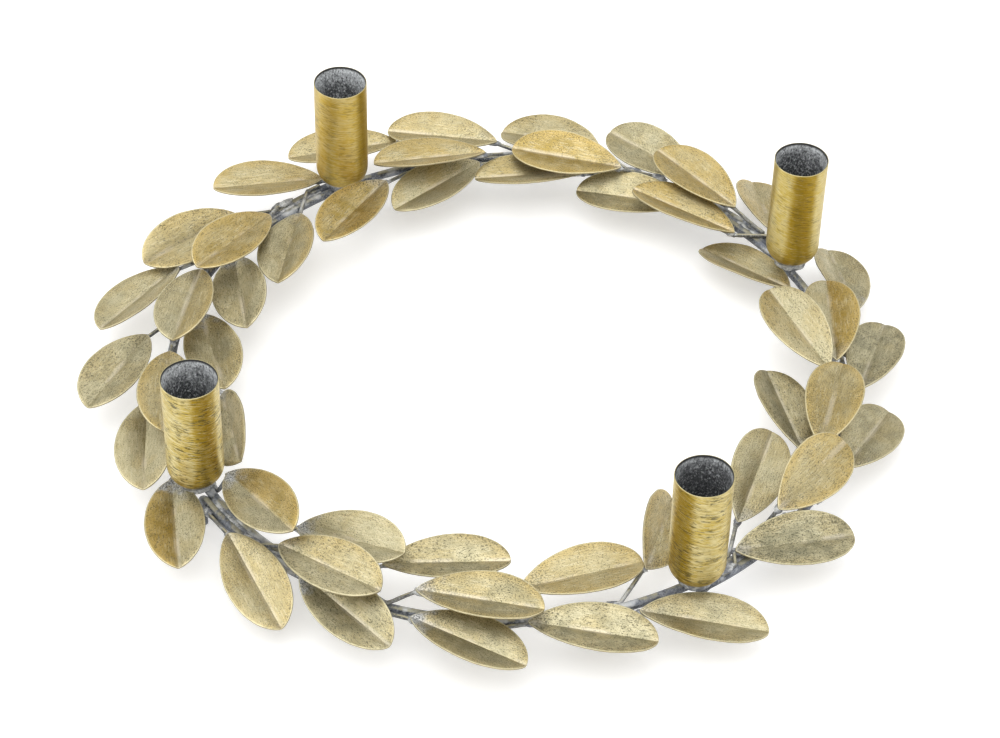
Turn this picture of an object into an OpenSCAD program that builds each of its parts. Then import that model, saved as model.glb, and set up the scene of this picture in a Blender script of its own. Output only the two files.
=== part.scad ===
// Candle ring: a wreath of folded brass leaves on four welded branch rods,
// with four tall cups for dinner candles. Millimetres, +Z up.
// The origin is on the table, under the middle of the wreath's outline.

/* [Ring] */
// Radius of the circle that the branch rods follow
ring_r = 147.5; // [140:0.5:165]
// Diameter of the branch rods
rod_d = 4; // [3:0.1:5]
// Height of the rods' centre line over the table
rod_h = 16; // [15:0.5:22]
// Length that neighbouring rods lie side by side, in degrees of the ring
rod_lap = 20; // [12:1:26]
// Gap between the rods where they lie side by side
lap_gap = 0.1; // [0:0.05:0.4]
// Centre line radius of the bend from rod to foot
foot_bend_r = 5; // [4:0.5:8]
// Angle from each cup to the foot that stands beside it, in degrees
foot_turn = 2.5; // [2:0.5:6]
// Where the ring's own middle lies, left to right
ring_x = 4; // [-10:0.5:10]
// Where the ring's own middle lies, front to back
ring_y = -4; // [-10:0.5:10]

/* [Candle cups] */
// Diameter of the candles that the cups take
candle_d = 22; // [20:0.5:26]
// Total slack between a candle and its cup
candle_slack = 0.4; // [0.2:0.1:1]
// Wall of the cups
cup_wall = 0.8; // [0.6:0.1:1.5]
// Floor of the cups
cup_floor = 1.2; // [0.8:0.1:3]
// Height of the cups from base to rim
cup_h = 57; // [35:0.5:75]
// Height of the cups' base over the rods that they are soldered to
cup_lift = 2.5; // [0:0.5:3]
// Outer rounding of the cups' closed end
cup_round = 9; // [3:0.5:10]
// Radius of the solder pool under each cup
solder_r = 5.5; // [4:0.5:7]
// Depth that the solder reaches down beside the rods
solder_h = 1.6; // [0.8:0.1:2]

/* [Leaves] */
// Length of a leaf blade
leaf_l = 53; // [45:1:56]
// Width of a leaf blade when flat
leaf_w = 26.5; // [20:0.5:28]
// Thickness of the leaf sheet
leaf_t = 0.8; // [0.5:0.1:1.2]
// Upward fold of each half of a leaf, in degrees
leaf_fold = 18; // [10:1:25]
// Diameter of the stalk wires
stalk_d = 1.8; // [1.2:0.1:2.4]
// Length of stalk wire on each side of a bend that the bend takes up
stalk_bend = 1.2; // [0.4:0.1:2]
// Length that a stalk wire runs under its leaf
stalk_under = 9; // [5:1:16]
// Distance along the ring from a leaf back to where its stalk leaves the rod
stalk_back = 9; // [6:1:14]
// Length of stalk wire welded along the rod
stalk_weld = 7; // [4:1:10]
// Gap left under each cup and at both ends of each stalk for the solder or braze
braze_gap = 0.05; // [0:0.05:0.3]

/* [Hidden] */
$fn = 48;
cup_base_h = rod_h + rod_d / 2 + cup_lift;
cup_bore_d = candle_d + candle_slack;
cup_d = cup_bore_d + 2 * cup_wall;
// Distance of a stalk's centre line from what it is brazed to
stalk_seat = stalk_d / 2 + braze_gap;
// Flat sides of the stalk wires
stalk_sides = 8;
// Length of rod behind each foot where outer stalks already go to the new rod
foot_reach = 3 * foot_bend_r;
// How far a shape that cuts or joins another runs into it or past it
overcut = 1;
// Each cup: place on the ring in degrees, then how far outside ring_r it stands
CUPS = [[30.5, 1.5], [122.5, -1], [210, 1.5], [302.5, -1.5]];
rod_turn = 360 / len(CUPS);
rod_start = CUPS[0][0] + foot_turn + arc_angle(foot_bend_r);
// Sideways shift of a rod's circle that leaves lap_gap between neighbours
rod_mid = (rod_turn + rod_lap) / 2;
rod_shift = (rod_d + lap_gap) / (sin(rod_mid) + sin(rod_turn - rod_mid));

// Leaves, anticlockwise from the back. Each row holds the place of the leaf's
// base (degrees around the ring, then how far outside ring_r and above rod_h),
// then how far the leaf swings out of the ring's direction, how far its tip
// lifts, and how far it rolls towards the outside, all in degrees. The seventh
// value is the side of the rod that carries the stalk: 1 outside, 0 on top, -1
// inside. An eighth value takes the place of stalk_back where a cup, a foot or
// a rod's end is in the way.
OUTER_LEAVES = [
    [92.5, 9.5, 2, 10, -1, -2, 1],
    [109, 20.5, -1, 3, 0, 0, 1],
    [125, 6.5, 2, 15, 8, -3, 1, 3],
    [142.5, 11.5, 4, 10, 0, -18, 1],
    [157, 15.5, 0, 12, 0, 10, 1],
    [174.5, 12.5, 2, 17, 2, 0, 1],
    [190, 9.5, 2, 6, 0, 3, 1],
    [206.7, 9.5, -1.5, 18, 2, 0, 1],
    [222.5, 6.5, 2, 14, -7, 10, 1],
    [237, 3.5, 3.5, 11.5, -2, 14, 1],
    [256, 5, 2, 14, 0, 0, 1],
    [274, 2, 2, 14, 0, 0, 1],
    [291.5, 3.5, 0.5, 27, -6, 3, 1],
    [310.9, -2.5, 4.5, 24, -6, 15, 0, 4],
    [338, 7.5, 2, 5, -12, 12, 1],
    [356.5, 6.5, 2, 14, -8, 0, 1, 8],
    [375, 13.5, 2, 6, -10, 18, 1],
    [398, 6.5, 2, 31, -14, 12, 1, 5],
    [417.4, 11.5, 2, 11, -4, -15, 1],
    [435, 13.5, 2, 12, -13, -4, 1]
];
TOP_LEAVES = [
    [95, -8.5, 10, -5, -1, 7, 0],
    [140.5, -4.5, 9, -6, 6, -7, 0],
    [159.5, 0.5, 9, -13, 5, 4, 0],
    [181, -0.5, 9, -2, 3, 0, 0],
    [213.5, -9, 9.5, -2, 11, 17, -1, 1.5],
    [231.5, -0.5, 8, -3, 7, 12, 0],
    [256, -3, 9.8, -2, 2, 2, 0],
    [320.9, -1.8, 11.2, -4, -3, 25, -1],
    [338.5, -4.5, 10, -7, -1, 7, 0],
    [358.5, -7.5, 9, -28, 3, -10, -1],
    [361, -3.5, 8, 0, -1, 3, 0],
    [405, -0.5, 9, 4, 0, -6, 0],
    [428.5, -6.5, 9, -7, -1, -11, 0]
];
INNER_LEAVES = [
    [96, -4.5, 1, -37, 0, -7, -1],
    [116, -14.5, 7, -34, 2, -3, -1],
    [134.5, -8.5, 3, -39, 4, 8, 0],
    [151, -4.5, 2, -40, 4, 15, -1, 7],
    [166.7, -6.5, -0.5, -30, 3, 6, -1],
    [189.5, -23.5, 2, -4, 10, 49, -1],
    [229.5, -16.5, 2, -12, 13, 12, -1],
    [247.5, -18.5, 2, -20, 6, 0, -1],
    [273, -16, 2, -15, 0, 6, -1],
    [296, -15.5, 2, -50, -11, 45, -1],
    [316.8, -14.5, 2, -25, 4, 22, -1],
    [339, -12, 2, -35, -2, 14, -1],
    [383.5, -9, 2, -23, -9, 8, -1],
    [401.5, -9.5, 4, -20, 4, 5, 0, 10],
    [414, -7.5, 2, -22, -4, -8, -1],
    [435.5, -6.5, 1.5, -25, 2, 8, -1]
];

LEAF_TIERS = [
    ["outer_leaf", OUTER_LEAVES],
    ["top_leaf", TOP_LEAVES],
    ["inner_leaf", INNER_LEAVES]
];

function leaf_name(tier, i) = str(tier[0], "_", i < 10 ? "0" : "", i);

function polar(radius, angle, height) = [radius * cos(angle), radius * sin(angle), height];

// Degrees of the ring that a length along it takes
function arc_angle(length) = length / ring_r * 180 / PI;

// How far outside ring_r a rod's centre line lies, at an angle past its start
function rod_offset(past_start) = -rod_shift * sin(past_start - rod_mid);

// Centre line radius of the rod that carries a stalk. Where two rods lap, that
// is the new rod, from its foot on, but for a stalk on the inside the old one.
function rod_radius(angle, side) =
    let (past = (angle - rod_start + 4 * rod_turn) % rod_turn)
    let (on_foot = side > 0 && past > rod_turn - arc_angle(foot_reach))
    let (on_old_rod = side < 0 && past < rod_lap)
    ring_r + rod_offset(past + (on_foot ? -rod_turn : on_old_rod ? rod_turn : 0));

function leaf_base(leaf) = polar(ring_r + leaf[1], leaf[0], rod_h + leaf[2]);

function leaf_heading(leaf) = leaf[0] + 90 - leaf[3];

// A leaf's own axes: along its midrib, across it towards the inside, and up

module at_leaf(leaf) {
    translate(leaf_base(leaf))
        rotate([0, 0, leaf_heading(leaf)])
            rotate([0, -leaf[4], 0])
                rotate([leaf[5], 0, 0])
                    children();
}

// The same place as at_leaf, for a point given along and below the midrib
function on_leaf(leaf, along, up) =
    let (h = leaf_heading(leaf), p = leaf[4], r = leaf[5])
    let (x = along * cos(p) - up * cos(r) * sin(p), y = -up * sin(r))
    leaf_base(leaf) + [
        x * cos(h) - y * sin(h),
        x * sin(h) + y * cos(h),
        along * sin(p) + up * cos(r) * cos(p)
    ];

// Half the width of the blade at a share of its length: widest past the middle
function half_width(share) =
    let (base_power = 0.75, tip_power = 0.55)
    let (widest = base_power / (base_power + tip_power))
    leaf_w / 2 * pow(share / widest, base_power) * pow((1 - share) / (1 - widest), tip_power);

module half_blade() {
    steps = 18;
    shares = [for (i = [0 : steps]) (1 - cos(180 * i / steps)) / 2];
    intersection() {
        rotate([leaf_fold, 0, 0])
            translate([0, -leaf_t, 0])
                linear_extrude(leaf_t)
                    polygon(concat(
                        [[leaf_l, 0], [0, 0]],
                        [for (s = shares) [leaf_l * s, leaf_t + half_width(s)]]
                    ));
        translate([-overcut, 0, -overcut])
            cube([leaf_l + 2 * overcut, leaf_w, leaf_w]);
    }
}

module leaf(place) {
    color("#a8925a")
        at_leaf(place) {
            half_blade();
            mirror([0, 1, 0])
                half_blade();
        }
}

function unit(v) = v / norm(v);

// Knots of a wire's route, with each inner knot cut off by a short bend
function bend_knots(knots) = [
    for (i = [0 : len(knots) - 1])
        each i == 0 || i == len(knots) - 1 ? [knots[i]] : [
            knots[i] + stalk_bend * unit(knots[i - 1] - knots[i]),
            knots[i] + stalk_bend * unit(knots[i + 1] - knots[i])
        ]
];

// One unbroken wire along a route of points
module wire(route) {
    last = len(route) - 1;
    runs = [for (i = [0 : last - 1]) unit(route[i + 1] - route[i])];
    headings = [for (i = [0 : last]) unit(runs[max(i - 1, 0)] + runs[min(i, last - 1)])];
    points = [
        for (i = [0 : last])
            let (across = unit(cross(headings[i], [0, 0, 1])))
            let (up = cross(across, headings[i]))
            for (k = [0 : stalk_sides - 1])
                let (turn = 360 * k / stalk_sides)
                route[i] + stalk_d / 2 * (across * cos(turn) + up * sin(turn))
    ];
    faces = [
        [for (k = [0 : stalk_sides - 1]) k],
        for (i = [0 : last - 1], k = [0 : stalk_sides - 1])
            let (a = i * stalk_sides + k, b = i * stalk_sides + (k + 1) % stalk_sides)
            each [[a, a + stalk_sides, b], [b, a + stalk_sides, b + stalk_sides]],
        [for (k = [stalk_sides - 1 : -1 : 0]) last * stalk_sides + k]
    ];
    polyhedron(points, faces);
}

// A wire welded beside the rod, bent off to a leaf and brazed under its midrib
module leaf_stalk(place) {
    side = place[6];
    back = is_undef(place[7]) ? stalk_back + abs(place[1]) / 2 : place[7];
    beside = rod_d / 2 + stalk_seat;
    leaves_rod = place[0] - arc_angle(back);
    weld_start = leaves_rod - arc_angle(stalk_weld);
    height = rod_h + (side == 0 ? beside : 0);
    color("#6e6a5c")
        wire(bend_knots([
            polar(rod_radius(weld_start, side) + side * beside, weld_start, height),
            polar(rod_radius(leaves_rod, side) + side * beside, leaves_rod, height),
            on_leaf(place, 0, -stalk_seat),
            on_leaf(place, stalk_under, -stalk_seat)
        ]));
}

module leaf_stalks() {
    for (tier = LEAF_TIERS)
        for (place = tier[1])
            leaf_stalk(place);
}

// An arc that starts at its foot, runs outside the rod before it, and ends
// inside the rod after it
module branch_rod(i) {
    color("#565a5e")
        rotate([0, 0, rod_start + i * rod_turn])
            translate([rod_shift * cos(90 - rod_mid), -rod_shift * sin(90 - rod_mid), 0]) {
                translate([0, 0, rod_h])
                    rotate_extrude(angle = rod_turn + rod_lap, $fn = 240)
                        translate([ring_r, 0])
                            circle(d = rod_d);
                translate([ring_r, 0, rod_h - foot_bend_r])
                    rotate([90, 0, -90])
                        rotate_extrude(angle = 90)
                            translate([foot_bend_r, 0])
                                circle(d = rod_d);
                translate([ring_r, -foot_bend_r, 0])
                    cylinder(d = rod_d, h = rod_h - foot_bend_r);
            }
}

module at_cup(i) {
    translate(polar(ring_r + CUPS[i][1], CUPS[i][0], cup_base_h))
        children();
}

module candle_cup(i) {
    bore_r = cup_bore_d / 2;
    inner_round = cup_round - cup_wall;
    color("#8f7430")
        at_cup(i)
            rotate_extrude()
                difference() {
                    union() {
                        translate([0, cup_round])
                            square([cup_d / 2, cup_h - cup_round]);
                        square([cup_d / 2 - cup_round, cup_round + overcut]);
                        intersection() {
                            translate([cup_d / 2 - cup_round, cup_round])
                                circle(r = cup_round);
                            square(cup_d);
                        }
                    }
                    translate([0, cup_floor + inner_round])
                        square([bore_r, cup_h]);
                    translate([0, cup_floor])
                        square([bore_r - inner_round, cup_h]);
                    translate([bore_r - inner_round, cup_floor + inner_round])
                        circle(r = inner_round);
                }
}

// The solder that carries each cup and fills round the rods below it
module cup_solder() {
    color("#b8b8b0")
        difference() {
            for (i = [0 : len(CUPS) - 1])
                at_cup(i)
                    translate([0, 0, -cup_lift - solder_h])
                        cylinder(r = solder_r, h = cup_lift + solder_h - braze_gap);
            for (i = [0 : len(CUPS) - 1])
                branch_rod(i);
        }
}

module on_table() {
    translate([ring_x, ring_y, 0])
        children();
}

for (i = [1 : len(CUPS)])
    on_table() candle_cup(i - 1);
for (i = [1 : len(CUPS)])
    on_table() branch_rod(i - 1);
on_table() cup_solder();
on_table() leaf_stalks();
for (tier = LEAF_TIERS, i = [1 : len(tier[1])])
    on_table() leaf(tier[1][i - 1]);
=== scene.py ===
import math
import random

import bmesh
import bpy
import numpy as np
from mathutils import Matrix, Vector, noise


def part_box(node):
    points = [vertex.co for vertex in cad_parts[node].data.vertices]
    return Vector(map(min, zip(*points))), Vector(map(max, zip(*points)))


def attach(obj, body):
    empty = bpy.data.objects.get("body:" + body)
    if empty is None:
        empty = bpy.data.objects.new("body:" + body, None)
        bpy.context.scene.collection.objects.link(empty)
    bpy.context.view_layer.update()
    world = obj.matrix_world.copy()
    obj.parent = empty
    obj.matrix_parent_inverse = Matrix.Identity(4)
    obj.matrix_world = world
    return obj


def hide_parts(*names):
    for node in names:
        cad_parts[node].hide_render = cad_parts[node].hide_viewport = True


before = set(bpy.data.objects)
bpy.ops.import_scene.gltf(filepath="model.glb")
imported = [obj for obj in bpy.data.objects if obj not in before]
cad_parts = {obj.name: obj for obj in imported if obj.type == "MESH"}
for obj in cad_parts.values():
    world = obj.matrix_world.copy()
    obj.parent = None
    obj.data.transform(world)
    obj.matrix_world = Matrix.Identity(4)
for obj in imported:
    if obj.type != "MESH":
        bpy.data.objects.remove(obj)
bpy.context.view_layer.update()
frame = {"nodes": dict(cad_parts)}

MM = 0.001

# Camera: where the photograph was taken from, in metres, and how it is turned
CAMERA_AT = Vector((0.00094, -0.94616, 0.90089))
CAMERA_DOWN = math.radians(43.17)
CAMERA_ROLL = math.radians(1.30)
LENS = 106.15
SENSOR = 36.0

# Light
FLOOR_COLOUR = 0.85
FLOOR_GLOW = 0.30
ZENITH_LIGHT = 1.32
HORIZON_LIGHT = 0.62
# How far a direction up, and one to the back, goes from the horizon's light to the zenith's
LIGHT_UP = 0.95
LIGHT_BACK = -0.30
LIGHT_FROM = -0.2
LIGHT_TO = 0.9
FLOOR_REACH = 4
# Each lamp: name, place and size in metres, power in watts
LAMPS = [
    ("key", (-0.30, -0.30, 1.50), 1.6, 7.5),
    ("left", (-1.50, 0.00, 0.60), 0.7, 3.5),
    ("right", (1.50, 0.00, 0.60), 0.7, 1.5),
]

# Ring, in millimetres
RING_MIDDLE = Vector((4.0, -4.0, 0.0))
RING_R = 147.5
ROD_R = 2.0
ROD_HEIGHT = 16.0
# Seam between the rods: degrees past each cup, radius and steps
SEAM_FROM = 4.5
SEAM_TO = 23.0
SEAM_R = 1.15
SEAM_STEPS = 60
SEAM_SIDES = 12

# Leaf sheet, in millimetres
LEAF_WIDTH = 26.5
LEAF_SHEET = 0.8
LEAF_FOLD = math.radians(18)
BASE_POWER = 0.75
TIP_POWER = 0.55
CREASE_R = 0.05
BULGE = 0.45
RIPPLE = 0.20
RIPPLE_SCALE = 0.09
RIM_WOBBLE = 0.2
RIM_SCALE = 0.2
STATIONS = 56
END_SHARE = 0.35
COLUMNS = 12
RIM_STEPS = 3

# Candle cups, in millimetres
CUP_R = 12.0
CUP_WALL = 0.8
CUP_ROUND = 9.0
CUP_FLOOR = 1.2
LIP_WALL = 0.45
LIP_TAPER = 2.0
CUP_DENT = 0.22
CUP_TURNS = 144
CORNER_STEPS = 12
LIP_STEPS = 8
OUTSIDE_ROWS = 28
INSIDE_ROWS = 24
CUP_NUMBERS = range(1, 5)
# For each cup: where round it, in degrees, its darker golden band of painted reflection
# stands, then how golden, how brushed and how sooty it is
CUP_TONES = (
    (-84, 0.10, 0.45, 0.55),
    (-20, 0.55, 0.35, 0.10),
    (-57, 0.05, 1.00, 0.20),
    (-136, 0.15, 0.80, 1.00),
)

# Stalks, in millimetres
STALK_R = 0.9
STALK_LUMP = 0.16
STALK_SIDES = 14
CAD_STALK_SIDES = 8
STEPS_PER_BEND = 6
# Braze under the leaf: how far along it and under it, and the lump's radii
BRAZE_ALONG = 1.6
BRAZE_UNDER = 0.7
BRAZE_RADII = (3.0, 1.7, 1.2)
BRAZE_LUMP = 0.5
# Weld on the rod: its share of the stalk's first length, and the lump's radii
WELD_SHARE = 0.4
WELD_RADII = (4.2, 1.5, 1.4)
WELD_LUMP = 0.6

# Solder collar under a cup, in millimetres: radius, and height over the cup's base
COLLAR_PROFILE = (
    (8.7, 2.3), (8.3, 1.1), (7.5, 0.1),
    (7.0, -1.0), (7.3, -2.2), (6.4, -3.2),
    (4.5, -3.9), (2.0, -4.1), (0.01, -4.1),
)
COLLAR_TURNS = 48

# How far apart in the noise neighbouring pieces lie, and the seeds of the solder
LEAF_NOISE_STEP = 37.0
CUP_NOISE_STEP = 61
COLLAR_SEED = 70
SEAM_SEED = 90

# How golden, how grey and how burnt by the torch each leaf is, and which half is
# golden: 1 the half towards the ring's middle, -1 the outer half, 0 both
USUAL_TONE = (0.25, 0.30, 0.20, 0)
LEAF_TONES = {
    "outer_leaf_01": (0.30, 0.25, 0.10, 0),
    "outer_leaf_02": (0.40, 0.05, 0.10, 0),
    "outer_leaf_03": (0.45, 0.00, 0.15, 0),
    "outer_leaf_04": (0.35, 0.10, 0.10, 0),
    "outer_leaf_05": (0.15, 0.40, 0.30, 0),
    "outer_leaf_06": (0.10, 0.40, 0.10, 0),
    "outer_leaf_07": (0.05, 0.00, 0.25, 0),
    "outer_leaf_08": (0.95, 0.25, 0.90, -1),
    "outer_leaf_09": (0.25, 0.20, 0.15, 0),
    "outer_leaf_10": (0.05, 0.60, 0.90, 0),
    "outer_leaf_11": (0.25, 0.60, 0.70, 0),
    "outer_leaf_12": (0.15, 0.70, 0.25, 0),
    "outer_leaf_13": (0.15, 0.45, 0.15, 0),
    "outer_leaf_14": (0.10, 0.95, 0.30, 0),
    "outer_leaf_15": (0.15, 0.55, 0.30, 0),
    "outer_leaf_16": (0.05, 0.70, 0.20, 0),
    "outer_leaf_17": (0.20, 0.50, 0.55, 0),
    "outer_leaf_18": (0.60, 0.25, 0.10, 0),
    "outer_leaf_19": (0.10, 0.45, 0.20, 0),
    "outer_leaf_20": (0.30, 0.25, 0.10, 0),
    "top_leaf_01": (0.60, 0.10, 0.05, 0),
    "top_leaf_02": (0.80, 0.15, 0.15, 0),
    "top_leaf_03": (0.50, 0.35, 0.20, 1),
    "top_leaf_04": (0.60, 0.30, 0.20, 0),
    "top_leaf_05": (0.85, 0.45, 0.85, 1),
    "top_leaf_06": (0.35, 0.20, 0.20, 1),
    "top_leaf_07": (0.45, 0.75, 0.45, 0),
    "top_leaf_08": (0.60, 0.15, 0.10, 0),
    "top_leaf_09": (0.65, 0.35, 0.15, 0),
    "top_leaf_10": (0.20, 0.00, 0.05, 1),
    "top_leaf_11": (0.90, 0.05, 0.25, -1),
    "top_leaf_12": (0.65, 0.10, 0.10, 0),
    "top_leaf_13": (0.85, 0.30, 0.10, 0),
    "inner_leaf_01": (0.10, 0.00, 0.10, 0),
    "inner_leaf_02": (0.90, 0.30, 0.35, 0),
    "inner_leaf_03": (0.60, 0.40, 0.35, 1),
    "inner_leaf_04": (0.05, 0.25, 0.80, 0),
    "inner_leaf_05": (0.30, 0.45, 0.80, 0),
    "inner_leaf_06": (0.25, 0.40, 0.40, 0),
    "inner_leaf_07": (0.05, 0.25, 0.75, 0),
    "inner_leaf_08": (0.25, 0.55, 0.30, 0),
    "inner_leaf_09": (0.40, 0.10, 0.10, 0),
    "inner_leaf_10": (0.50, 0.20, 0.20, 0),
    "inner_leaf_11": (0.15, 0.30, 0.30, 0),
    "inner_leaf_12": (0.15, 0.65, 0.25, 0),
    "inner_leaf_13": (0.45, 0.40, 0.20, 0),
    "inner_leaf_14": (0.70, 0.05, 0.05, 0),
    "inner_leaf_15": (0.30, 0.50, 0.50, 0),
    "inner_leaf_16": (0.40, 0.15, 0.15, 0),
}


def new_object(name, points, faces, smooth=True):
    """A new object from points in metres."""
    mesh = bpy.data.meshes.new(name)
    mesh.from_pydata([tuple(p) for p in points], [], faces)
    mesh.validate()
    mesh.polygons.foreach_set("use_smooth", [smooth] * len(mesh.polygons))
    made = bpy.data.objects.new(name, mesh)
    bpy.context.scene.collection.objects.link(made)
    return made


def set_vectors(made, name, values):
    """Stores one vector per point, which the materials read by its name."""
    attribute = made.data.attributes.new(name, "FLOAT_VECTOR", "POINT")
    attribute.data.foreach_set("vector", np.asarray(values, np.float32).ravel())


def finish_piece(made, slot_name, materials, *nodes):
    """Gives a piece its materials and its body, and hides the nodes that it stands for; slot_name is not
    used.
    """
    for material in materials:
        made.data.materials.append(material)
    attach(made, "root")
    if nodes:
        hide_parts(*nodes)
    return made


def polar(radius, degrees, height):
    """A point in millimetres at a place on the ring."""
    turn = math.radians(degrees)
    return RING_MIDDLE + Vector((radius * math.cos(turn), radius * math.sin(turn), height))


def chance_vector(number):
    """Where in the noise a piece looks, the same in every run."""
    chance = random.Random(number)
    return Vector((chance.uniform(0, 500), chance.uniform(0, 500), chance.uniform(0, 500)))


class Shader:
    """Short names for the nodes that the materials here are made of."""

    def __init__(self, tree):
        self.tree = tree
        self.tree.nodes.clear()

    def link(self, value, socket):
        """Joins another node's output to a socket, or sets a number or a colour on it."""
        if isinstance(value, bpy.types.NodeSocket):
            self.tree.links.new(value, socket)
        elif not hasattr(socket.default_value, "__len__"):
            socket.default_value = value
        elif not hasattr(value, "__len__"):
            socket.default_value = [value] * len(socket.default_value)
        elif len(socket.default_value) > len(value):
            socket.default_value = (*value, 1)
        else:
            socket.default_value = value

    def attribute(self, name):
        made = self.tree.nodes.new("ShaderNodeAttribute")
        made.attribute_name = name
        return made.outputs["Vector"]

    def millimetres(self):
        """Millimetres in the part's own frame."""
        made = self.tree.nodes.new("ShaderNodeTexCoord")
        return self.scaled(made.outputs["Object"], (1000, 1000, 1000))

    def split(self, vector):
        made = self.tree.nodes.new("ShaderNodeSeparateXYZ")
        self.link(vector, made.inputs[0])
        return made.outputs

    def join(self, x, y, z):
        made = self.tree.nodes.new("ShaderNodeCombineXYZ")
        for value, socket in zip((x, y, z), made.inputs):
            self.link(value, socket)
        return made.outputs[0]

    def math(self, operation, a, b=0.0, clamp=False):
        made = self.tree.nodes.new("ShaderNodeMath")
        made.operation = operation
        made.use_clamp = clamp
        self.link(a, made.inputs[0])
        self.link(b, made.inputs[1])
        return made.outputs[0]

    def times(self, a, b):
        """The product, kept between 0 and 1."""
        return self.math("MULTIPLY", a, b, clamp=True)

    def limited(self, value):
        """The value, kept between 0 and 1."""
        return self.times(value, 1.0)

    def plus(self, a, b):
        return self.math("ADD", a, b)

    def scaled(self, vector, factors):
        made = self.tree.nodes.new("ShaderNodeVectorMath")
        made.operation = "MULTIPLY"
        self.link(vector, made.inputs[0])
        self.link(factors, made.inputs[1])
        return made.outputs[0]

    def noise(self, vector, scale, detail=4.0, roughness=0.55):
        made = self.tree.nodes.new("ShaderNodeTexNoise")
        self.link(vector, made.inputs["Vector"])
        made.inputs["Scale"].default_value = scale
        made.inputs["Detail"].default_value = detail
        made.inputs["Roughness"].default_value = roughness
        return made.outputs["Fac"]

    def step(self, value, low, high, out_low=0.0, out_high=1.0):
        """Value from low to high becomes out_low to out_high, smoothly."""
        made = self.tree.nodes.new("ShaderNodeMapRange")
        made.interpolation_type = "SMOOTHSTEP"
        given = {"Value": value, "From Min": low, "From Max": high, "To Min": out_low, "To Max": out_high}
        for name, number in given.items():
            self.link(number, made.inputs[name])
        return made.outputs["Result"]

    def mix(self, factor, a, b):
        made = self.tree.nodes.new("ShaderNodeMixRGB")
        self.link(factor, made.inputs["Fac"])
        self.link(a, made.inputs["Color1"])
        self.link(b, made.inputs["Color2"])
        return made.outputs["Color"]

    def bump(self, height, strength, distance):
        made = self.tree.nodes.new("ShaderNodeBump")
        made.inputs["Strength"].default_value = strength
        made.inputs["Distance"].default_value = distance
        self.link(height, made.inputs["Height"])
        return made.outputs["Normal"]

    def surface(self, **sockets):
        """A Principled surface; underscores in the names stand for spaces."""
        output = self.tree.nodes.new("ShaderNodeOutputMaterial")
        made = self.tree.nodes.new("ShaderNodeBsdfPrincipled")
        for name, value in sockets.items():
            self.link(value, made.inputs[name.replace("_", " ")])
        self.tree.links.new(made.outputs[0], output.inputs["Surface"])


def new_material(name):
    """A material with an empty tree, and the tree's short names."""
    material = bpy.data.materials.new(name)
    material.use_nodes = True
    return material, Shader(material.node_tree)


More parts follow.
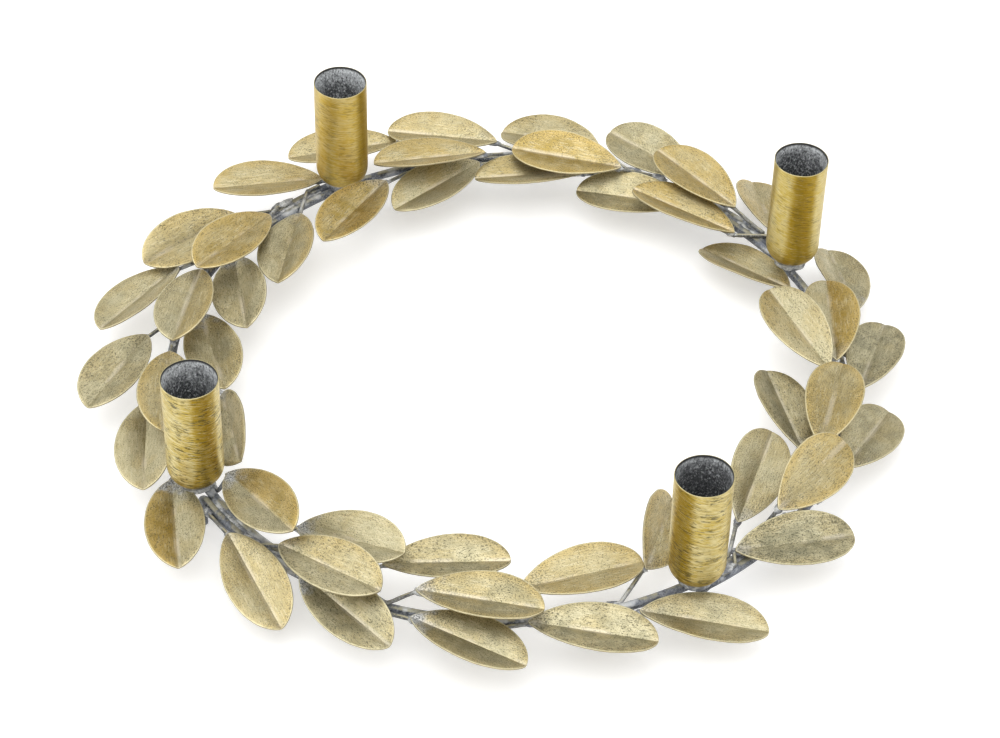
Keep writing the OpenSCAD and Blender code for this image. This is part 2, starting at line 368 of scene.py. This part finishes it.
def leaf_brass():
    """Pale brushed brass. Each point's place holds millimetres along and across the
    leaf and a seed; its edge holds millimetres to the rim, 1 on the face and 0 on
    the back, and millimetres from the base; its tone holds gold, grey and flux."""
    material, s = new_material("leaf_brass")
    place = s.attribute("place")
    along, across, seed = s.split(place)
    rim, face, from_base = s.split(s.attribute("edge"))
    gold, grey, flux = s.split(s.attribute("tone"))

    cloud = s.noise(place, 0.06, 3)
    blotch = s.noise(place, 0.16, 4, 0.5)
    patch = s.noise(place, 0.09, 2, 0.5)
    grain = s.noise(s.scaled(place, (0.8, 1.5, 1)), 1.5, 2, 0.6)
    dust = s.noise(s.scaled(place, (1.5, 0.9, 1)), 2.2, 2, 0.6)
    streak = s.noise(s.scaled(place, (0.16, 1.6, 1)), 1.1, 3, 0.7)
    slant = s.join(along, s.plus(across, s.math("MULTIPLY", along, 0.35)), seed)
    hatch = s.noise(s.scaled(slant, (0.22, 1.7, 1)), 1.1, 3, 0.7)

    # Base metal, from pale through tan to golden
    warm = s.limited(s.plus(s.step(cloud, 0.36, 0.66, -0.20, 0.30), gold))
    colour = s.mix(warm, (0.58, 0.52, 0.325), (0.50, 0.365, 0.12))
    colour = s.mix(s.math("MULTIPLY", grey, 0.40), colour, (0.38, 0.36, 0.25))
    # Brush marks along the leaf, pale and dark, and slanted scratches
    colour = s.mix(s.step(streak, 0.50, 0.66, 0, 0.50), colour, (0.74, 0.69, 0.48))
    colour = s.mix(s.step(streak, 0.48, 0.32, 0, 0.40), colour, (0.27, 0.23, 0.11))
    colour = s.mix(s.step(hatch, 0.54, 0.64, 0, 0.32), colour, (0.22, 0.20, 0.115))
    # Soft olive shading, with orange where the metal is golden
    mottle = s.step(blotch, 0.40, 0.66, 0, 0.55)
    colour = s.mix(s.times(mottle, s.plus(grey, 0.10)), colour, (0.22, 0.21, 0.13))
    orange = s.times(s.step(blotch, 0.44, 0.68), s.step(gold, 0.6, 0.95, 0, 0.55))
    colour = s.mix(orange, colour, (0.37, 0.25, 0.03))
    golden_rim = s.times(s.step(rim, 6, 0.5), s.step(gold, 0, 0.8, 0.10, 0.60))
    colour = s.mix(golden_rim, colour, (0.62, 0.45, 0.15))
    # Dark speckle, thicker near the rim and in patches, and near the base, where it is partly patina and
    # partly painted shade
    base_patina_and_shade = s.step(from_base, 2, 26, 0.35, 0)
    near_rim = s.times(s.step(rim, 6, 1, 0, 0.45), s.step(cloud, 0.42, 0.60))
    dense = s.plus(s.step(patch, 0.36, 0.66, 0, 0.40), s.plus(base_patina_and_shade, near_rim))
    thick = s.math("MULTIPLY", s.plus(dense, s.math("MULTIPLY", grey, 0.40)), 0.09)
    speck = s.step(s.plus(grain, thick), 0.60, 0.68)
    fleck = s.step(s.plus(dust, thick), 0.60, 0.68)
    colour = s.mix(s.times(speck, 0.66), colour, (0.09, 0.09, 0.06))
    colour = s.mix(s.times(fleck, 0.62), colour, (0.10, 0.095, 0.06))
    # Painted highlight: a pale line beside the crease, in places
    width = s.math("ABSOLUTE", across)
    crease_highlight = s.times(s.step(width, 0.3, 1.8, 1, 0), s.step(cloud, 0.44, 0.62))
    colour = s.mix(s.times(crease_highlight, 0.42), colour, (0.74, 0.69, 0.57))
    # Blue-grey and whitish flux where the leaf is brazed
    reach = s.plus(from_base, s.math("MULTIPLY", blotch, -26))
    reach = s.plus(reach, s.math("MULTIPLY", flux, -5))
    burnt = s.times(s.step(reach, -16, -4, 1, 0), s.math("MULTIPLY", flux, 1.3))
    ash = s.mix(s.step(grain, 0.42, 0.58), (0.56, 0.57, 0.57), (0.13, 0.14, 0.155))
    colour = s.mix(s.times(burnt, 0.95), colour, ash)
    # Painted highlight along the rim, and painted shade on the rim's edge and sides
    colour = s.mix(s.times(s.step(rim, 0.45, 0.85, 1, 0), 0.55), colour, (0.74, 0.69, 0.46))
    colour = s.mix(s.step(rim, 0.02, 0.22, 0.75, 0), colour, (0.10, 0.09, 0.06))
    # A duller, darker back, partly its own metal and partly painted shade
    dull_shaded_back = s.mix(blotch, (0.24, 0.205, 0.125), (0.50, 0.43, 0.26))
    colour = s.mix(s.step(face, 0.66, 0.86), dull_shaded_back, colour)

    relief = s.plus(s.math("MULTIPLY", streak, 0.8), s.plus(grain, s.math("MULTIPLY", speck, -0.8)))
    s.surface(
        Base_Color=colour,
        Metallic=s.math("SUBTRACT", 0.90, s.times(burnt, 0.65)),
        Roughness=s.plus(s.step(streak, 0.3, 0.7, 0.38, 0.50), s.times(speck, 0.20)),
        Normal=s.bump(relief, 0.30, 0.0003),
    )
    return material


def cup_brass():
    """Brass brushed round the cup. Each point's place holds its place on the cup in
    millimetres; its edge holds millimetres down from the lip and up from the base, and
    how near it is to the cup's band of painted reflection, up to 1; its tone holds gold,
    brushing and soot, and soot is for the inside only."""
    material, s = new_material("cup_brass")
    place = s.attribute("place")
    x, y, z = s.split(place)
    lip, foot, reflection_band = s.split(s.attribute("edge"))
    gold, brushed = s.split(s.attribute("tone"))[:2]
    slanted = s.join(x, y, s.plus(z, s.math("MULTIPLY", x, 0.16)))
    stroke = s.noise(s.scaled(slanted, (0.14, 0.14, 1.5)), 1.0, 4, 0.65)
    fine = s.noise(s.scaled(slanted, (0.30, 0.30, 3.2)), 1.0, 3, 0.65)
    scratch = s.noise(s.scaled(slanted, (0.24, 0.24, 1.5)), 1.0, 3, 0.72)
    blotch = s.noise(place, 0.12, 3, 0.6)
    patch = s.noise(s.scaled(place, (1, 1, 1.6)), 0.09, 3, 0.6)

    # Golden metal, paler where it was brushed
    colour = s.mix(s.step(blotch, 0.38, 0.62), (0.49, 0.37, 0.085), (0.58, 0.49, 0.22))
    colour = s.mix(s.math("MULTIPLY", gold, 0.9), colour, (0.44, 0.275, 0.028))
    # Painted reflection: a darker golden band down the cup at its set angle, with fewer pale strokes;
    # darker gold near the foot too
    painted_band_and_foot = s.plus(s.step(reflection_band, 0.81, 0.97), s.step(foot, 15, 4, 0, 0.6))
    painted_band_and_foot = s.limited(s.plus(painted_band_and_foot, s.step(blotch, 0.3, 0.7, -0.15, 0.2)))
    colour = s.mix(painted_band_and_foot, colour, (0.33, 0.215, 0.015))
    strokes = s.times(s.step(stroke, 0.47, 0.60), brushed)
    colour = s.mix(s.times(strokes, s.step(painted_band_and_foot, 0, 1, 0.80, 0.15)), colour, (0.67, 0.60, 0.34))
    rubbed = s.times(s.step(fine, 0.50, 0.66), s.step(brushed, 0.2, 1, 0.2, 0.55))
    colour = s.mix(rubbed, colour, (0.20, 0.14, 0.02))
    colour = s.mix(s.times(s.step(fine, 0.46, 0.32, 0, 0.5), brushed), colour, (0.76, 0.69, 0.43))
    worn_off = s.plus(s.step(patch, 0.40, 0.60, 0, 0.08), s.step(foot, 1, 16, 0.05, 0))
    dark = s.times(s.step(s.plus(scratch, worn_off), 0.59, 0.66), s.step(brushed, 0.2, 1, 0.4, 1))
    colour = s.mix(s.times(dark, 0.80), colour, (0.07, 0.062, 0.03))
    # Painted highlight: a pale line round the lip
    colour = s.mix(s.step(lip, 0.10, 0.35, 0.8, 0), colour, (0.56, 0.50, 0.27))
    ash_up = s.plus(foot, s.math("MULTIPLY", s.noise(place, 0.35, 4, 0.65), -7))
    colour = s.mix(s.step(ash_up, -2.2, 0.4, 0.85, 0), colour, (0.52, 0.52, 0.49))
    tangent = s.tree.nodes.new("ShaderNodeTangent")
    tangent.direction_type = "RADIAL"
    tangent.axis = "Z"
    s.surface(
        Base_Color=colour,
        Metallic=0.92,
        Roughness=s.step(stroke, 0.3, 0.7, 0.34, 0.46),
        Anisotropic=0.8,
        Anisotropic_Rotation=0.25,
        Tangent=tangent.outputs["Tangent"],
        Normal=s.bump(s.plus(stroke, s.math("MULTIPLY", fine, 0.6)), 0.30, 0.0003),
    )
    return material


def cup_soot():
    """The dark grey inside of a cup, with pale flecks."""
    material, s = new_material("cup_soot")
    place = s.attribute("place")
    depth = s.split(s.attribute("edge"))[0]
    sooty = s.split(s.attribute("tone"))[2]
    grain = s.noise(s.scaled(place, (1, 1, 0.7)), 1.15, 4, 0.75)
    blotch = s.noise(place, 0.14, 3)
    # Paler towards the lip, darker deeper down
    edge = s.plus(s.math("MULTIPLY", blotch, 26), s.math("MULTIPLY", sooty, 9))
    pale_towards_lip = s.limited(s.step(s.plus(depth, edge), 33, 14))
    colour = s.mix(pale_towards_lip, (0.13, 0.135, 0.14), (0.60, 0.62, 0.63))
    fleck = s.times(s.step(grain, 0.54, 0.61), s.step(sooty, 0, 1, 0.95, 0.6))
    colour = s.mix(fleck, colour, (0.9, 0.92, 0.93))
    colour = s.mix(s.step(grain, 0.47, 0.40, 0, 0.90), colour, (0.045, 0.047, 0.05))
    # Painted shade: a dark ring just inside the lip
    colour = s.mix(s.step(depth, 1.6, 0.6), colour, (0.03, 0.03, 0.03))
    s.surface(Base_Color=colour, Metallic=0.1, Roughness=0.55, Normal=s.bump(grain, 0.8, 0.0005))
    return material


def dark_steel(name, dark, light, top_highlight_colour):
    """Blackened steel with a painted pale highlight on top and whitish flux in places."""
    material, s = new_material(name)
    place = s.millimetres()
    geometry = s.tree.nodes.new("ShaderNodeNewGeometry")
    up = s.split(geometry.outputs["Normal"])[2]
    blotch = s.noise(place, 0.16, 4, 0.65)
    grain = s.noise(place, 1.3, 4, 0.7)
    colour = s.mix(s.step(blotch, 0.38, 0.62), dark, light)
    colour = s.mix(s.step(grain, 0.50, 0.66, 0, 0.6), colour, (0.42, 0.43, 0.43))
    colour = s.mix(s.step(grain, 0.46, 0.34, 0, 0.7), colour, (0.035, 0.037, 0.042))
    # Painted highlight along the top
    top_highlight = s.times(s.step(up, 0.70, 0.94), s.step(blotch, 0.60, 0.44))
    colour = s.mix(s.times(top_highlight, 0.70), colour, top_highlight_colour)
    white = s.step(s.noise(place, 0.09, 3, 0.6), 0.52, 0.64)
    white = s.times(white, s.step(up, 0.0, 0.7, 0.15, 0.75))
    colour = s.mix(white, colour, (0.60, 0.62, 0.64))
    s.surface(
        Base_Color=colour,
        Metallic=0.55,
        Roughness=s.step(grain, 0.3, 0.7, 0.36, 0.56),
        Normal=s.bump(s.plus(grain, blotch), 0.6, 0.0006),
    )
    return material


def solder_metal():
    """Dull whitish-grey solder."""
    material, s = new_material("solder")
    place = s.millimetres()
    blotch = s.noise(place, 0.30, 4, 0.65)
    grain = s.noise(place, 1.5, 3, 0.7)
    colour = s.mix(s.step(blotch, 0.42, 0.60), (0.20, 0.21, 0.23), (0.56, 0.57, 0.56))
    colour = s.mix(s.step(grain, 0.56, 0.68, 0, 0.8), colour, (0.06, 0.06, 0.07))
    relief = s.plus(blotch, grain)
    s.surface(Base_Color=colour, Metallic=0.4, Roughness=0.5, Normal=s.bump(relief, 0.7, 0.0006))
    return material


def leaf_axes(node):
    """Base point and unit axes of a leaf, along, across towards the ring's middle and
    up, with its length, all found from its solid."""
    points = [v.co.copy() for v in node.data.vertices]
    first = max(points, key=lambda p: (p - points[0]).length)
    last = max(points, key=lambda p: (p - first).length)
    along = (last - first).normalized()
    length = (last - first).length

    def aside(p):
        return p - first - along * (p - first).dot(along)

    wide = max(points, key=lambda p: aside(p).length)
    other = max(points, key=lambda p: (aside(p) - aside(wide)).length)
    # The widest place is nearer to the tip
    if (wide - first).dot(along) < length / 2:
        first, along = last, -along
    across = aside(wide) - aside(other)
    across = (across - along * across.dot(along)).normalized()
    up = along.cross(across)
    if up.z < 0:
        up = -up
    return first, along, up.cross(along), up, length


def half_width(share):
    """Half the flat leaf's width at a share of its length."""
    widest = BASE_POWER / (BASE_POWER + TIP_POWER)
    return LEAF_WIDTH / 2 * (share / widest) ** BASE_POWER * ((1 - share) / (1 - widest)) ** TIP_POWER


def leaf_section(width, round_r):
    """Points round a flat section, as (across, up and down as 1 and -1, face)."""
    flat = width - round_r
    turns = [math.pi / 2 * k / RIM_STEPS for k in range(1, RIM_STEPS + 1)]
    half = [(flat * j / COLUMNS, 1.0, 1.0) for j in range(COLUMNS + 1)]
    half += [(flat + round_r * math.sin(a), math.cos(a), 0.5 + 0.5 * math.cos(a)) for a in turns]
    loop = [(-y, h, f) for y, h, f in reversed(half)] + half[1:]
    loop += [(y, -h, 0.0) for y, h, _ in reversed(half[:-1])]
    loop += [(-y, -h, 0.0) for y, h, _ in half[1:-1]]
    return loop


def leaf_blade(name, node, number, material):
    """A folded leaf of real sheet: crisp crease, softly bulging halves, round rim."""
    base, along, across, up, length = leaf_axes(node)
    length /= MM
    offset = chance_vector(number)
    seed = number * LEAF_NOISE_STEP
    gold, grey, flux, golden_side = LEAF_TONES.get(name, USUAL_TONE)
    half_sheet = LEAF_SHEET / 2
    points, places, edges, tones = [], [], [], []
    rings = []
    for i in range(STATIONS + 1):
        share = (1 - math.cos(math.pi * (i + END_SHARE) / (STATIONS + 2 * END_SHARE))) / 2
        x = share * length
        width = half_width(share) * math.cos(LEAF_FOLD)
        round_r = min(half_sheet, width * 0.8)
        ring = []
        for y, h, face in leaf_section(width, round_r):
            part = abs(y) / max(width, 0.1)
            fold = math.tan(LEAF_FOLD) * (math.hypot(y, CREASE_R) - CREASE_R)
            bulge = BULGE * 4 * part * (1 - part) * min(1, width / 6)
            rippled = Vector((x * RIPPLE_SCALE, y * RIPPLE_SCALE, 0)) + offset
            wave = noise.noise(rippled) * RIPPLE * (0.3 + part)
            rim_spot = Vector((x * RIM_SCALE, math.copysign(4, y), 9)) + offset
            wobble = noise.noise(rim_spot) * RIM_WOBBLE * part * part
            z = half_sheet + fold + bulge + wave + h * round_r
            ring.append(len(points))
            side = y + math.copysign(wobble, y)
            points.append(base + (along * x + across * side + up * z) * MM)
            places.append((x, y, seed))
            edges.append((width - abs(y), face, x))
            sided = 1.0 if golden_side == 0 else min(1, max(0, 0.5 + golden_side * y * 0.8))
            tones.append((gold * sided, grey, flux))
        rings.append(ring)
    count = len(rings[0])
    faces = [tuple(rings[0]), tuple(reversed(rings[-1]))]
    for a, b in zip(rings, rings[1:]):
        faces += [(a[k], b[k], b[(k + 1) % count], a[(k + 1) % count]) for k in range(count)]
    made = new_object(name + "_blade", points, faces)
    # The crease stays sharp
    for edge in made.data.edges:
        edge.use_edge_sharp = all(places[i][1] == 0 for i in edge.vertices)
    set_vectors(made, "place", places)
    set_vectors(made, "edge", edges)
    set_vectors(made, "tone", tones)
    return finish_piece(made, "leaf_brass", [material], name)


def rows_joined(rows, turns):
    """Faces between rows of points, each row once round the shape."""
    faces = []
    for i in range(rows - 1):
        here = i * turns
        after = here + turns
        for k in range(turns):
            n = (k + 1) % turns
            faces.append((here + k, here + n, after + n, after + k))
    return faces


def cup_base(number):
    """The middle of a cup's base in metres, and the cup's height in millimetres."""
    low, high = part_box(f"candle_cup_{number}")
    return Vector(((low.x + high.x) / 2, (low.y + high.y) / 2, low.z)), (high.z - low.z) / MM


def corner(radius, side, base):
    """Profile points of a rounded corner, from the base out and up to the side."""
    turns = [math.pi / 2 * k / CORNER_STEPS for k in range(CORNER_STEPS + 1)]
    return [(side - radius + radius * math.sin(a), base + radius - radius * math.cos(a)) for a in turns]


def cup_profile(height):
    """Radius and height of the cup's outside, lip and inside."""
    lip_r = LIP_WALL / 2
    inner_r = CUP_R - CUP_WALL
    inner_round = CUP_ROUND - CUP_WALL
    straight = height - lip_r - CUP_ROUND
    outside = [(0.01, 0), (1.5, 0)] + corner(CUP_ROUND, CUP_R, 0)
    outside += [(CUP_R, CUP_ROUND + straight * k / OUTSIDE_ROWS) for k in range(1, OUTSIDE_ROWS + 1)]
    turns = [math.pi * k / LIP_STEPS for k in range(1, LIP_STEPS)]
    lip = [(CUP_R - lip_r + lip_r * math.cos(a), height - lip_r + lip_r * math.sin(a)) for a in turns]
    lip.append((CUP_R - LIP_WALL, height - lip_r))
    shoulder = height - LIP_TAPER
    drop = shoulder - CUP_FLOOR - inner_round
    inside = [(inner_r, shoulder - drop * k / INSIDE_ROWS) for k in range(INSIDE_ROWS + 1)]
    inside += list(reversed(corner(inner_round, inner_r, CUP_FLOOR)))[1:]
    inside += [(1.5, CUP_FLOOR), (0.01, CUP_FLOOR)]
    return outside, lip, inside


def candle_cup(name, number, brass, soot):
    """A spun cup, slightly out of true, brushed outside and sooty inside."""
    centre, height = cup_base(number)
    outside, lip, inside = cup_profile(height)
    offset = chance_vector(number)
    reflection_band, gold, brushed, sooty = CUP_TONES[number - 1]
    reflection_band_at = math.radians(reflection_band)
    points, places, edges = [], [], []
    profile = outside + lip + inside
    for radius, up in profile:
        for k in range(CUP_TURNS):
            turn = 2 * math.pi * k / CUP_TURNS
            heading = Vector((math.cos(turn), math.sin(turn), 0))
            dent = noise.noise(heading * 1.3 + Vector((0, 0, up * 0.04)) + offset) * CUP_DENT
            r = radius + dent * min(1, up / 12)
            points.append(centre + (heading * r + Vector((0, 0, up))) * MM)
            places.append(heading * CUP_R + Vector((number * CUP_NOISE_STEP, 0, up)))
            edges.append((height - up, up, math.cos(turn - reflection_band_at)))
    made = new_object(name + "_shell", points, rows_joined(len(profile), CUP_TURNS))
    set_vectors(made, "place", places)
    set_vectors(made, "edge", edges)
    set_vectors(made, "tone", [(gold, brushed, sooty)] * len(points))
    finish_piece(made, "cup_brass", [brass, soot], name)
    first_inside = (len(outside) + len(lip) // 2) * CUP_TURNS
    for face in made.data.polygons:
        face.material_index = int(min(face.vertices) >= first_inside)
    return made


def neighbours(solids, index):
    """Numbers of the points that share an edge with a point."""
    vert = solids.verts[index]
    return [edge.other_vert(vert).index for edge in vert.link_edges]


def stalk_routes(node):
    """Centre points of each stalk's bends, read from the rings of points of its solid."""
    solids = bmesh.new()
    solids.from_mesh(node.data)
    bmesh.ops.remove_doubles(solids, verts=solids.verts, dist=1e-6)
    solids.verts.ensure_lookup_table()
    met = set()
    routes = []
    for start in range(len(solids.verts)):
        if start in met:
            continue
        island, waiting = [start], [start]
        met.add(start)
        while waiting:
            for other in neighbours(solids, waiting.pop()):
                if other not in met:
                    met.add(other)
                    island.append(other)
                    waiting.append(other)
        spots = {i: solids.verts[i].co.copy() for i in sorted(island)}
        end = max(spots.values(), key=lambda p: (p - spots[start]).length)
        ring = sorted(spots, key=lambda i: (spots[i] - end).length)[:CAD_STALK_SIDES]
        done, route = set(), []
        while ring:
            done.update(ring)
            route.append(sum((spots[i] for i in ring), Vector()) / len(ring))
            following = {other for i in ring for other in neighbours(solids, i)}
            ring = sorted(following - done)
        routes.append(route)
    solids.free()
    return routes


def smooth_route(route):
    """More points on a curve through the route's points, which keeps its ends."""
    spread = [route[0]] + route + [route[-1]]
    made = []
    for a, b, c, d in zip(spread, spread[1:], spread[2:], spread[3:]):
        for k in range(STEPS_PER_BEND):
            t = k / STEPS_PER_BEND
            spot = b * 2 + (c - a) * t
            spot += (a * 2 - b * 5 + c * 4 - d) * t**2
            spot += (b * 3 - a - c * 3 + d) * t**3
            made.append(spot / 2)
    made.append(route[-1])
    return made


def tube(route, radius, sides, lump, offset):
    """Points and faces of a slightly lumpy tube along a route in metres."""
    points = []
    heading = (route[1] - route[0]).normalized()
    aside = heading.orthogonal().normalized()
    for i, spot in enumerate(route):
        ahead = route[min(i + 1, len(route) - 1)] - route[max(i - 1, 0)]
        heading = ahead.normalized()
        aside = (aside - heading * aside.dot(heading)).normalized()
        other = heading.cross(aside)
        for k in range(sides):
            turn = 2 * math.pi * k / sides
            out = aside * math.cos(turn) + other * math.sin(turn)
            grow = 1 + lump * noise.noise((spot / MM + out * radius) * 0.45 + offset)
            points.append(spot + out * radius * grow * MM)
    faces = rows_joined(len(route), sides)
    faces.append(tuple(reversed(range(sides))))
    faces.append(tuple(range(len(points) - sides, len(points))))
    return points, faces


def blob(centre, axes, radii, lump, offset):
    """Points and faces of a lumpy ellipsoid; its centre is in metres."""
    ball = bmesh.new()
    bmesh.ops.create_icosphere(ball, subdivisions=3, radius=1.0)
    points = []
    for vert in ball.verts:
        grow = 1 + lump * noise.noise(vert.co * 1.6 + offset)
        out = sum((axis * part * radius for axis, part, radius in zip(axes, vert.co, radii)), Vector())
        points.append(centre + out * grow * MM)
    faces = [tuple(v.index for v in face.verts) for face in ball.faces]
    ball.free()
    return points, faces


def joined(name, parts):
    """One object from several lists of points and faces."""
    points, faces = [], []
    for some_points, some_faces in parts:
        shift = len(points)
        points += some_points
        faces += [tuple(i + shift for i in face) for face in some_faces]
    return new_object(name, points, faces)


def stalks(node, leaf_frames, steel, solder):
    """Drawn wire stalks, with a lump of braze at each end."""
    wires, lumps = [], []
    for number, route in enumerate(stalk_routes(node)):
        offset = chance_vector(number)
        nearest = min(leaf_frames, key=lambda f: min((f[0] - route[0]).length, (f[0] - route[-1]).length))
        if (nearest[0] - route[0]).length < (nearest[0] - route[-1]).length:
            route.reverse()
        wires.append(tube(smooth_route(route), STALK_R, STALK_SIDES, STALK_LUMP, offset))
        base, along, across, up = nearest[:4]
        brazed = base + (along * BRAZE_ALONG - up * BRAZE_UNDER) * MM
        lumps.append(blob(brazed, (along, across, up), BRAZE_RADII, BRAZE_LUMP, offset))
        way = (route[1] - route[0]).normalized()
        beside = way.cross(Vector((0, 0, 1))).normalized()
        welded = route[0].lerp(route[1], WELD_SHARE)
        lumps.append(blob(welded, (way, beside, beside.cross(way)), WELD_RADII, WELD_LUMP, offset))
    finish_piece(joined("stalk_wires", wires), "stalk_steel", [steel], node.name)
    finish_piece(joined("stalk_brazes", lumps), "solder", [solder], node.name)


def solder_pools(node, solder):
    """A lumpy collar of solder round each cup's base, down over the rods."""
    # The profile runs down, so the faces are turned over
    faces = [(a, d, c, b) for a, b, c, d in rows_joined(len(COLLAR_PROFILE), COLLAR_TURNS)]
    parts = []
    for number in CUP_NUMBERS:
        centre = cup_base(number)[0] / MM
        offset = chance_vector(number + COLLAR_SEED)
        points = []
        for radius, height in COLLAR_PROFILE:
            for k in range(COLLAR_TURNS):
                turn = 2 * math.pi * k / COLLAR_TURNS
                heading = Vector((math.cos(turn), math.sin(turn), 0))
                lump = noise.noise(heading * 1.8 + Vector((0, 0, height * 0.3)) + offset)
                sag = Vector((0, 0, height + lump * 0.7))
                points.append((centre + heading * radius * (1 + 0.16 * lump) + sag) * MM)
        parts.append((points, faces))
    finish_piece(joined("cup_collars", parts), "solder", [solder], node.name)


def rod_seams(solder):
    """Weld metal in the valley between the rods where they lie side by side."""
    parts = []
    for number in CUP_NUMBERS:
        spot = cup_base(number)[0] / MM - RING_MIDDLE
        start = math.degrees(math.atan2(spot.y, spot.x))
        offset = chance_vector(number + SEAM_SEED)
        route = []
        for k in range(SEAM_STEPS + 1):
            turn = start + SEAM_FROM + (SEAM_TO - SEAM_FROM) * k / SEAM_STEPS
            dip = noise.noise(Vector((turn * 0.5, 0, 0)) + offset)
            route.append(polar(RING_R + dip * 0.4, turn, ROD_HEIGHT + ROD_R * 0.42 + dip * 0.7) * MM)
        parts.append(tube(route, SEAM_R, SEAM_SIDES, 0.5, offset))
    finish_piece(joined("rod_seams", parts), "solder", [solder], "cup_solder")


def white_rays(s):
    """1 on rays from the camera and on those that metal reflects."""
    rays = s.tree.nodes.new("ShaderNodeLightPath")
    seen = s.math("MAXIMUM", rays.outputs["Is Camera Ray"], rays.outputs["Is Glossy Ray"])
    return s.math("MAXIMUM", seen, rays.outputs["Is Transmission Ray"])


def add_camera(scene):
    """The photograph's camera."""
    forward = Vector((0, math.cos(CAMERA_DOWN), -math.sin(CAMERA_DOWN)))
    right = Vector((1, 0, 0))
    up = Vector((0, math.sin(CAMERA_DOWN), math.cos(CAMERA_DOWN)))
    turned_right = right * math.cos(CAMERA_ROLL) + up * math.sin(CAMERA_ROLL)
    turned_up = up * math.cos(CAMERA_ROLL) - right * math.sin(CAMERA_ROLL)
    data = bpy.data.cameras.new("camera")
    data.lens = LENS
    data.sensor_width = SENSOR
    data.sensor_fit = "HORIZONTAL"
    camera = bpy.data.objects.new("camera", data)
    turn = Matrix((turned_right, turned_up, -forward)).transposed()
    camera.matrix_world = Matrix.Translation(CAMERA_AT) @ turn.to_4x4()
    scene.collection.objects.link(camera)
    scene.camera = camera


def add_floor():
    """A white floor that keeps the object's shadow."""
    corners = [(-1, -1), (1, -1), (1, 1), (-1, 1)]
    points = [(x * FLOOR_REACH, y * FLOOR_REACH, 0) for x, y in corners]
    floor = new_object("floor", points, [(0, 1, 2, 3)], False)
    material, s = new_material("white_floor")
    output = s.tree.nodes.new("ShaderNodeOutputMaterial")
    diffuse = s.tree.nodes.new("ShaderNodeBsdfDiffuse")
    glow = s.tree.nodes.new("ShaderNodeEmission")
    both = s.tree.nodes.new("ShaderNodeAddShader")
    s.link((FLOOR_COLOUR, FLOOR_COLOUR, FLOOR_COLOUR), diffuse.inputs["Color"])
    s.link(s.math("MULTIPLY", white_rays(s), FLOOR_GLOW), glow.inputs["Strength"])
    s.link(diffuse.outputs[0], both.inputs[0])
    s.link(glow.outputs[0], both.inputs[1])
    s.link(both.outputs[0], output.inputs["Surface"])
    floor.data.materials.append(material)


def add_world(scene):
    """A plain white studio, brightest overhead and a little to the front."""
    world = bpy.data.worlds.new("studio")
    world.use_nodes = True
    scene.world = world
    s = Shader(world.node_tree)
    output = s.tree.nodes.new("ShaderNodeOutputWorld")
    background = s.tree.nodes.new("ShaderNodeBackground")
    heading = s.tree.nodes.new("ShaderNodeTexCoord").outputs["Generated"]
    back, up = s.split(heading)[1:3]
    high = s.plus(s.math("MULTIPLY", up, LIGHT_UP), s.math("MULTIPLY", back, LIGHT_BACK))
    s.link((1, 1, 1), background.inputs["Color"])
    strength = s.step(high, LIGHT_FROM, LIGHT_TO, HORIZON_LIGHT, ZENITH_LIGHT)
    s.link(strength, background.inputs["Strength"])
    s.link(background.outputs[0], output.inputs[0])


def add_lamps(scene):
    """Large soft lamps, each turned to the ring's middle."""
    for name, place, size, power in LAMPS:
        data = bpy.data.lights.new(name, "AREA")
        data.shape = "DISK"
        data.size = size
        data.energy = power
        lamp = bpy.data.objects.new(name, data)
        lamp.location = place
        lamp.rotation_euler = (-Vector(place)).to_track_quat("-Z", "Y").to_euler()
        scene.collection.objects.link(lamp)


def build():
    """Every piece, with its material."""
    nodes = frame["nodes"]
    blade_brass = leaf_brass()
    leaf_names = sorted(name for name in nodes if "_leaf_" in name)
    for number, name in enumerate(leaf_names):
        leaf_blade(name, nodes[name], number, blade_brass)
    shell_brass = cup_brass()
    soot = cup_soot()
    for number in CUP_NUMBERS:
        candle_cup(f"candle_cup_{number}", number, shell_brass, soot)
    rod_metal = dark_steel("rod_steel", (0.055, 0.062, 0.075), (0.16, 0.175, 0.205), (0.46, 0.43, 0.30))
    stalk_metal = dark_steel("stalk_steel", (0.075, 0.078, 0.08), (0.22, 0.22, 0.20), (0.60, 0.55, 0.36))
    solder = solder_metal()
    for number in CUP_NUMBERS:
        rod = nodes[f"branch_rod_{number}"]
        rod.data.materials.clear()
        rod.data.materials.append(rod_metal)
    leaf_frames = [leaf_axes(nodes[name]) for name in leaf_names]
    stalks(nodes["leaf_stalks"], leaf_frames, stalk_metal, solder)
    solder_pools(nodes["cup_solder"], solder)
    rod_seams(solder)


scene = bpy.context.scene
scene.view_settings.view_transform = "Standard"
add_camera(scene)
add_floor()
add_world(scene)
add_lamps(scene)
build()
